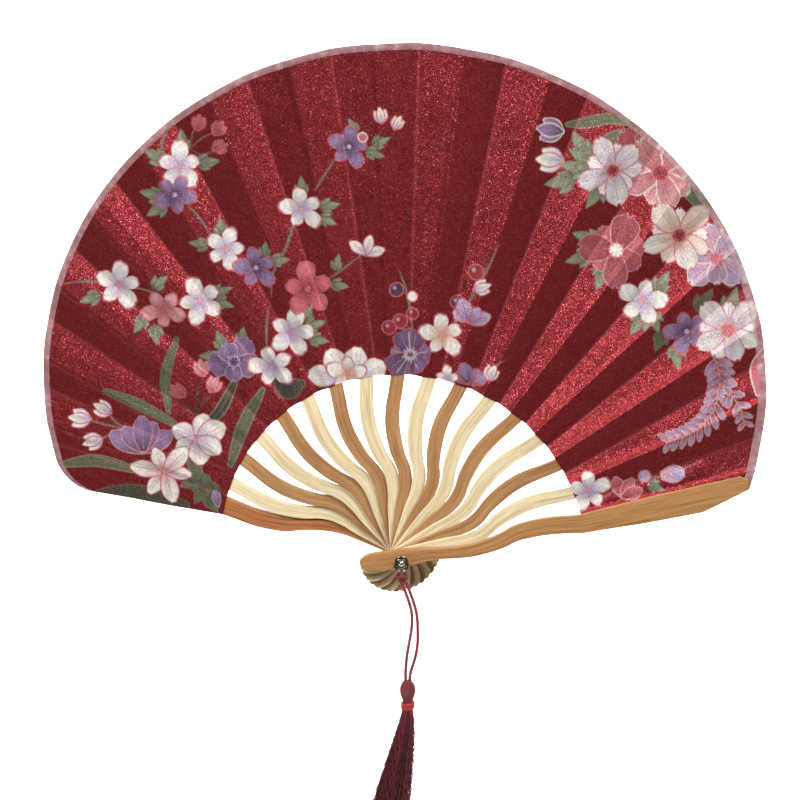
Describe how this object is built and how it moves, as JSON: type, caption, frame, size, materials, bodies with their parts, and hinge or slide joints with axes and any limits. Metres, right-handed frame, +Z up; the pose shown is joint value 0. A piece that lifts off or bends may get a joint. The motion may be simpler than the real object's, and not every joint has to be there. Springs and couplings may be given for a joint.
{
  "type": "folding hand fan",
  "caption": "Open folding hand fan: wavy bamboo ribs and two guards turn on one rivet, with a pleated crimson cloth leaf and a corded tassel.",
  "frame": {"origin": "on the axis of the rivet, halfway through the stack of blades, where a hand holds the fan", "axes": "+Z up through the middle of the open leaf, +X to the right as the front is looked at, +Y away from the viewer along the rivet, so that the front faces -Y"},
  "size_m": [0.2948, 0.0349, 0.3539],
  "materials": {
    "pale_bamboo": "satin, pale, with fine straight grain",
    "brown_bamboo": "satin, toasted brown, with fine straight grain",
    "dark_bamboo": "satin, reddish brown, with fine straight grain",
    "golden_bamboo": "satin, golden brown, with visible grain",
    "crimson_silk": "satin sheen with a fine glitter and a printed flower spray",
    "steel": "bright",
    "red_cord": "matt twisted cord",
    "red_ribbon": "satin ribbon",
    "maroon_strands": "fine glossy strands"
  },
  "bodies": {
    "front_guard": {"front_guard": "golden_bamboo", "leaf_glued_16": "crimson_silk", "leaf_fold_16": "crimson_silk", "rivet_pin": "steel", "front_eyelet": "steel", "rear_washer": "steel"},
    "rib_15": {"rib_15": "pale_bamboo", "leaf_glued_15": "crimson_silk", "leaf_fold_15": "crimson_silk"},
    "rib_14": {"rib_14": "brown_bamboo", "leaf_glued_14": "crimson_silk", "leaf_fold_14": "crimson_silk"},
    "rib_13": {"rib_13": "pale_bamboo", "leaf_glued_13": "crimson_silk", "leaf_fold_13": "crimson_silk"},
    "rib_12": {"rib_12": "brown_bamboo", "leaf_glued_12": "crimson_silk", "leaf_fold_12": "crimson_silk"},
    "rib_11": {"rib_11": "pale_bamboo", "leaf_glued_11": "crimson_silk", "leaf_fold_11": "crimson_silk"},
    "rib_10": {"rib_10": "brown_bamboo", "leaf_glued_10": "crimson_silk", "leaf_fold_10": "crimson_silk"},
    "rib_09": {"rib_09": "pale_bamboo", "leaf_glued_09": "crimson_silk", "leaf_fold_09": "crimson_silk"},
    "rib_08": {"rib_08": "brown_bamboo", "leaf_glued_08": "crimson_silk", "leaf_fold_08": "crimson_silk"},
    "rib_07": {"rib_07": "pale_bamboo", "leaf_glued_07": "crimson_silk", "leaf_fold_07": "crimson_silk"},
    "rib_06": {"rib_06": "brown_bamboo", "leaf_glued_06": "crimson_silk", "leaf_fold_06": "crimson_silk"},
    "rib_05": {"rib_05": "pale_bamboo", "leaf_glued_05": "crimson_silk", "leaf_fold_05": "crimson_silk"},
    "rib_04": {"rib_04": "brown_bamboo", "leaf_glued_04": "crimson_silk", "leaf_fold_04": "crimson_silk"},
    "rib_03": {"rib_03": "pale_bamboo", "leaf_glued_03": "crimson_silk", "leaf_fold_03": "crimson_silk"},
    "rib_02": {"rib_02": "brown_bamboo", "leaf_glued_02": "crimson_silk", "leaf_fold_02": "crimson_silk"},
    "rib_01": {"rib_01": "pale_bamboo", "leaf_glued_01": "crimson_silk", "leaf_fold_01": "crimson_silk"},
    "rear_guard": {"rear_guard": "dark_bamboo", "leaf_glued_00": "crimson_silk"},
    "tassel": {"wire_ring": "steel", "cord_knot": "red_cord", "cord_left": "red_cord", "cord_right": "red_cord", "tassel_head": "maroon_strands", "tassel_band": "red_ribbon", "tassel_skirt": "maroon_strands"}
  },
  "joints": [
    {"name": "rib_15_turn", "type": "hinge", "parent": "front_guard", "child": "rib_15", "pos_m": [0, 0, 0], "axis": [0, 1, 0], "range_deg": [0, 9.86], "deforming": ["leaf_fold_16"]},
    {"name": "rib_14_turn", "type": "hinge", "parent": "rib_15", "child": "rib_14", "pos_m": [0, 0, 0], "axis": [0, 1, 0], "range_deg": [0, 9.86], "deforming": ["leaf_fold_15"]},
    {"name": "rib_13_turn", "type": "hinge", "parent": "rib_14", "child": "rib_13", "pos_m": [0, 0, 0], "axis": [0, 1, 0], "range_deg": [0, 9.86], "deforming": ["leaf_fold_14"]},
    {"name": "rib_12_turn", "type": "hinge", "parent": "rib_13", "child": "rib_12", "pos_m": [0, 0, 0], "axis": [0, 1, 0], "range_deg": [0, 9.86], "deforming": ["leaf_fold_13"]},
    {"name": "rib_11_turn", "type": "hinge", "parent": "rib_12", "child": "rib_11", "pos_m": [0, 0, 0], "axis": [0, 1, 0], "range_deg": [0, 9.86], "deforming": ["leaf_fold_12"]},
    {"name": "rib_10_turn", "type": "hinge", "parent": "rib_11", "child": "rib_10", "pos_m": [0, 0, 0], "axis": [0, 1, 0], "range_deg": [0, 9.86], "deforming": ["leaf_fold_11"]},
    {"name": "rib_09_turn", "type": "hinge", "parent": "rib_10", "child": "rib_09", "pos_m": [0, 0, 0], "axis": [0, 1, 0], "range_deg": [0, 9.86], "deforming": ["leaf_fold_10"]},
    {"name": "rib_08_turn", "type": "hinge", "parent": "rib_09", "child": "rib_08", "pos_m": [0, 0, 0], "axis": [0, 1, 0], "range_deg": [0, 9.86], "deforming": ["leaf_fold_09"]},
    {"name": "rib_07_turn", "type": "hinge", "parent": "rib_08", "child": "rib_07", "pos_m": [0, 0, 0], "axis": [0, 1, 0], "range_deg": [0, 9.86], "deforming": ["leaf_fold_08"]},
    {"name": "rib_06_turn", "type": "hinge", "parent": "rib_07", "child": "rib_06", "pos_m": [0, 0, 0], "axis": [0, 1, 0], "range_deg": [0, 9.86], "deforming": ["leaf_fold_07"]},
    {"name": "rib_05_turn", "type": "hinge", "parent": "rib_06", "child": "rib_05", "pos_m": [0, 0, 0], "axis": [0, 1, 0], "range_deg": [0, 9.85], "deforming": ["leaf_fold_06"]},
    {"name": "rib_04_turn", "type": "hinge", "parent": "rib_05", "child": "rib_04", "pos_m": [0, 0, 0], "axis": [0, 1, 0], "range_deg": [0, 9.83], "deforming": ["leaf_fold_05"]},
    {"name": "rib_03_turn", "type": "hinge", "parent": "rib_04", "child": "rib_03", "pos_m": [0, 0, 0], "axis": [0, 1, 0], "range_deg": [0, 9.77], "deforming": ["leaf_fold_04"]},
    {"name": "rib_02_turn", "type": "hinge", "parent": "rib_03", "child": "rib_02", "pos_m": [0, 0, 0], "axis": [0, 1, 0], "range_deg": [0, 9.6], "deforming": ["leaf_fold_03"]},
    {"name": "rib_01_turn", "type": "hinge", "parent": "rib_02", "child": "rib_01", "pos_m": [0, 0, 0], "axis": [0, 1, 0], "range_deg": [0, 9.16], "deforming": ["leaf_fold_02"]},
    {"name": "rear_guard_turn", "type": "hinge", "parent": "rib_01", "child": "rear_guard", "pos_m": [0, 0, 0], "axis": [0, 1, 0], "range_deg": [0, 7.96], "deforming": ["leaf_fold_01"]},
    {"name": "tassel_swing", "type": "hinge", "parent": "front_guard", "child": "tassel", "pos_m": [0, -0.01435, 0], "axis": [0, 1, 0], "range_deg": [-60, 60]}
  ],
  "couplings": [
    {"joint": "rib_14_turn", "follows": "rib_15_turn", "ratio": 1},
    {"joint": "rib_13_turn", "follows": "rib_15_turn", "ratio": 1},
    {"joint": "rib_12_turn", "follows": "rib_15_turn", "ratio": 1},
    {"joint": "rib_11_turn", "follows": "rib_15_turn", "ratio": 1},
    {"joint": "rib_10_turn", "follows": "rib_15_turn", "ratio": 0.99999},
    {"joint": "rib_09_turn", "follows": "rib_15_turn", "ratio": 0.99998},
    {"joint": "rib_08_turn", "follows": "rib_15_turn", "ratio": 0.99994},
    {"joint": "rib_07_turn", "follows": "rib_15_turn", "ratio": 0.99982},
    {"joint": "rib_06_turn", "follows": "rib_15_turn", "ratio": 0.99952},
    {"joint": "rib_05_turn", "follows": "rib_15_turn", "ratio": 0.9987},
    {"joint": "rib_04_turn", "follows": "rib_15_turn", "ratio": 0.99647},
    {"joint": "rib_03_turn", "follows": "rib_15_turn", "ratio": 0.99041},
    {"joint": "rib_02_turn", "follows": "rib_15_turn", "ratio": 0.97392},
    {"joint": "rib_01_turn", "follows": "rib_15_turn", "ratio": 0.92911},
    {"joint": "rear_guard_turn", "follows": "rib_15_turn", "ratio": 0.8073}
  ]
}
